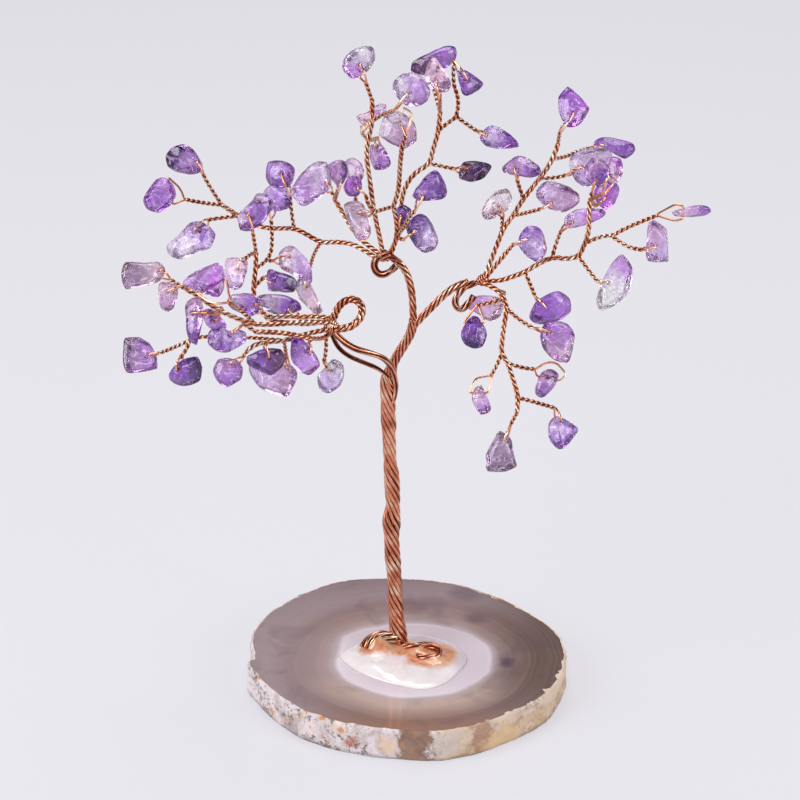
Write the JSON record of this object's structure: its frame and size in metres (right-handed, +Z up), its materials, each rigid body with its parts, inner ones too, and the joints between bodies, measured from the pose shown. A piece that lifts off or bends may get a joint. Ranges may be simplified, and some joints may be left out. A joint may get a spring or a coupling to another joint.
{
  "type": "gemstone tree ornament",
  "caption": "Wire tree with drilled violet stone chips on twisted copper twigs, its coiled foot glued to a flat polished slice of banded stone.",
  "frame": {"origin": "middle of the flat underside of the stone slice", "axes": "+Z up the trunk, -Y towards the viewer of the front, +X to that viewer's right"},
  "size_m": [0.122, 0.0689, 0.1447],
  "materials": {
    "agate": "polished, opaque, banded",
    "clear_glue": "glossy, clear",
    "copper": "bright drawn copper wire",
    "amethyst": "tumbled, polished",
    "amethyst_deep": "tumbled, polished",
    "amethyst_pale": "tumbled, polished",
    "amethyst_rose": "tumbled, polished",
    "amethyst_smoky": "tumbled, polished"
  },
  "bodies": {
    "tree": {"agate_slice": "agate", "glue_puddle": "clear_glue", "trunk": "copper", "left_root": "copper", "right_root_coil": "copper", "fork_rope": "copper", "middle_limb_rope": "copper", "right_limb_rope": "copper", "left_limb_bundle": "copper", "left_limb_pair": "copper", "left_ring_tie": "copper", "middle_curl_tie": "copper", "right_hook_tie": "copper", "left_high_spray": "copper", "left_outer_spray": "copper", "left_low_spray": "copper", "left_near_spray": "copper", "left_under_spray": "copper", "middle_far_left_spray": "copper", "middle_near_left_spray": "copper", "middle_tall_spray": "copper", "middle_right_spray": "copper", "middle_top_spray": "copper", "right_high_spray": "copper", "right_single_spray": "copper", "right_wide_spray": "copper", "right_hanging_spray": "copper", "left_high_chips": "amethyst", "left_outer_chips": "amethyst", "left_low_chips": "amethyst", "left_near_chips": "amethyst", "middle_left_chips": "amethyst", "middle_tall_chips": "amethyst", "middle_right_chips": "amethyst", "right_high_chips": "amethyst", "right_wide_chips": "amethyst"},
    "left_pink_drop_chip": {"left_pink_drop_chip": "amethyst_rose"},
    "left_low_corner_chip": {"left_low_corner_chip": "amethyst_smoky"},
    "left_low_round_chip": {"left_low_round_chip": "amethyst"},
    "left_clear_hanging_chip": {"left_clear_hanging_chip": "amethyst_pale"},
    "left_top_outer_chip": {"left_top_outer_chip": "amethyst"},
    "left_long_pale_chip": {"left_long_pale_chip": "amethyst_pale"},
    "middle_top_chip": {"middle_top_chip": "amethyst"},
    "middle_round_chip": {"middle_round_chip": "amethyst"},
    "middle_pink_drop_chip": {"middle_pink_drop_chip": "amethyst_rose"},
    "middle_triangle_chip": {"middle_triangle_chip": "amethyst_deep"},
    "middle_diamond_chip": {"middle_diamond_chip": "amethyst"},
    "middle_wing_chip": {"middle_wing_chip": "amethyst_deep"},
    "middle_indigo_chip": {"middle_indigo_chip": "amethyst_deep"},
    "right_top_chip": {"right_top_chip": "amethyst"},
    "right_striped_chip": {"right_striped_chip": "amethyst"},
    "right_far_tip_chip": {"right_far_tip_chip": "amethyst"},
    "right_far_tall_chip": {"right_far_tall_chip": "amethyst"},
    "right_clear_long_chip": {"right_clear_long_chip": "amethyst_pale"},
    "right_violet_chip": {"right_violet_chip": "amethyst"},
    "right_dark_drop_chip": {"right_dark_drop_chip": "amethyst_deep"},
    "right_pale_hanging_chip": {"right_pale_hanging_chip": "amethyst_pale"},
    "right_big_loop_chip": {"right_big_loop_chip": "amethyst"},
    "right_smoky_hanging_chip": {"right_smoky_hanging_chip": "amethyst_smoky"},
    "right_lowest_outer_chip": {"right_lowest_outer_chip": "amethyst_deep"}
  },
  "joints": [
    {"name": "left_pink_drop_chip_swing", "type": "hinge", "parent": "tree", "child": "left_pink_drop_chip", "pos_m": [-0.04902, -0.01176, 0.0988], "axis": [-0.3746, -0.8956, 0.24], "range_deg": [-20, 30]},
    {"name": "left_low_corner_chip_swing", "type": "hinge", "parent": "tree", "child": "left_low_corner_chip", "pos_m": [-0.05482, -0.00558, 0.0814], "axis": [0.342, -0.7698, 0.539], "range_deg": [-50, 30]},
    {"name": "left_low_round_chip_swing", "type": "hinge", "parent": "tree", "child": "left_low_round_chip", "pos_m": [-0.03665, -0.01219, 0.08232], "axis": [-0.2079, -0.7812, 0.5887], "range_deg": [-80, 50]},
    {"name": "left_clear_hanging_chip_swing", "type": "hinge", "parent": "tree", "child": "left_clear_hanging_chip", "pos_m": [-0.01642, -0.00878, 0.07941], "axis": [-0.2419, -0.8138, 0.5285], "range_deg": [-60, 20]},
    {"name": "left_top_outer_chip_swing", "type": "hinge", "parent": "tree", "child": "left_top_outer_chip", "pos_m": [-0.05021, 0.01297, 0.11111], "axis": [0.179, -0.5035, -0.8452], "range_deg": [-50, 50]},
    {"name": "left_long_pale_chip_swing", "type": "hinge", "parent": "tree", "child": "left_long_pale_chip", "pos_m": [-0.04489, 0.01297, 0.10169], "axis": [-0.2419, -0.7323, 0.6366], "range_deg": [-80, 20]},
    {"name": "middle_top_chip_swing", "type": "hinge", "parent": "tree", "child": "middle_top_chip", "pos_m": [-0.0104, 0.00614, 0.14122], "axis": [0.2419, -0.7948, 0.5565], "range_deg": [-70, 80]},
    {"name": "middle_round_chip_swing", "type": "hinge", "parent": "tree", "child": "middle_round_chip", "pos_m": [0.00003, 0.00017, 0.13748], "axis": [-0.2079, -0.9531, 0.22], "range_deg": [-80, 80]},
    {"name": "middle_pink_drop_chip_swing", "type": "hinge", "parent": "tree", "child": "middle_pink_drop_chip", "pos_m": [-0.00984, -0.0026, 0.11193], "axis": [-0.2419, -0.7749, 0.5839], "range_deg": [-30, 20]},
    {"name": "middle_triangle_chip_swing", "type": "hinge", "parent": "tree", "child": "middle_triangle_chip", "pos_m": [0.00252, -0.00238, 0.11626], "axis": [0.2079, -0.9448, 0.2532], "range_deg": [-80, 80]},
    {"name": "middle_diamond_chip_swing", "type": "hinge", "parent": "tree", "child": "middle_diamond_chip", "pos_m": [0.01161, 0.00955, 0.13703], "axis": [0.309, -0.9095, 0.2781], "range_deg": [-10, 10]},
    {"name": "middle_wing_chip_swing", "type": "hinge", "parent": "tree", "child": "middle_wing_chip", "pos_m": [0.01648, 0.0087, 0.1253], "axis": [-0.1736, -0.9596, 0.2215], "range_deg": [-60, 80]},
    {"name": "middle_indigo_chip_swing", "type": "hinge", "parent": "tree", "child": "middle_indigo_chip", "pos_m": [0.01194, 0.007, 0.11798], "axis": [0.2419, -0.7541, 0.6106], "range_deg": [-80, 80]},
    {"name": "right_top_chip_swing", "type": "hinge", "parent": "tree", "child": "right_top_chip", "pos_m": [0.03379, 0.01169, 0.12863], "axis": [0.2756, -0.8062, 0.5235], "range_deg": [-80, 80]},
    {"name": "right_striped_chip_swing", "type": "hinge", "parent": "tree", "child": "right_striped_chip", "pos_m": [0.02403, -0.00366, 0.10659], "axis": [0.2756, -0.7874, 0.5514], "range_deg": [-50, 80]},
    {"name": "right_far_tip_chip_swing", "type": "hinge", "parent": "tree", "child": "right_far_tip_chip", "pos_m": [0.05664, -0.00153, 0.11217], "axis": [-0.0126, -0.542, -0.8403], "range_deg": [-80, 80]},
    {"name": "right_far_tall_chip_swing", "type": "hinge", "parent": "tree", "child": "right_far_tall_chip", "pos_m": [0.05053, -0.0058, 0.10634], "axis": [0.2419, -0.9279, 0.2837], "range_deg": [-10, 50]},
    {"name": "right_clear_long_chip_swing", "type": "hinge", "parent": "tree", "child": "right_clear_long_chip", "pos_m": [0.04141, -0.00707, 0.09839], "axis": [-0.2079, -0.8013, 0.561], "range_deg": [-30, 40]},
    {"name": "right_violet_chip_swing", "type": "hinge", "parent": "tree", "child": "right_violet_chip", "pos_m": [0.02953, -0.00942, 0.08813], "axis": [-0.1736, -0.7865, 0.5927], "range_deg": [-80, 80]},
    {"name": "right_dark_drop_chip_swing", "type": "hinge", "parent": "tree", "child": "right_dark_drop_chip", "pos_m": [0.01358, -0.0075, 0.08978], "axis": [0.9945, -0.0962, 0.042], "range_deg": [-10, 40]},
    {"name": "right_pale_hanging_chip_swing", "type": "hinge", "parent": "tree", "child": "right_pale_hanging_chip", "pos_m": [0.01481, -0.01049, 0.07513], "axis": [0.9902, 0.127, -0.0589], "range_deg": [-80, 80]},
    {"name": "right_big_loop_chip_swing", "type": "hinge", "parent": "tree", "child": "right_big_loop_chip", "pos_m": [0.02873, -0.00878, 0.0778], "axis": [0.9706, 0.0512, -0.2354], "range_deg": [-80, 80]},
    {"name": "right_smoky_hanging_chip_swing", "type": "hinge", "parent": "tree", "child": "right_smoky_hanging_chip", "pos_m": [0.02021, -0.01304, 0.06523], "axis": [-0.1392, -0.8488, 0.51], "range_deg": [-80, 80]},
    {"name": "right_lowest_outer_chip_swing", "type": "hinge", "parent": "tree", "child": "right_lowest_outer_chip", "pos_m": [0.03157, -0.01049, 0.06842], "axis": [0.2079, -0.8013, 0.561], "range_deg": [-80, 80]}
  ]
}
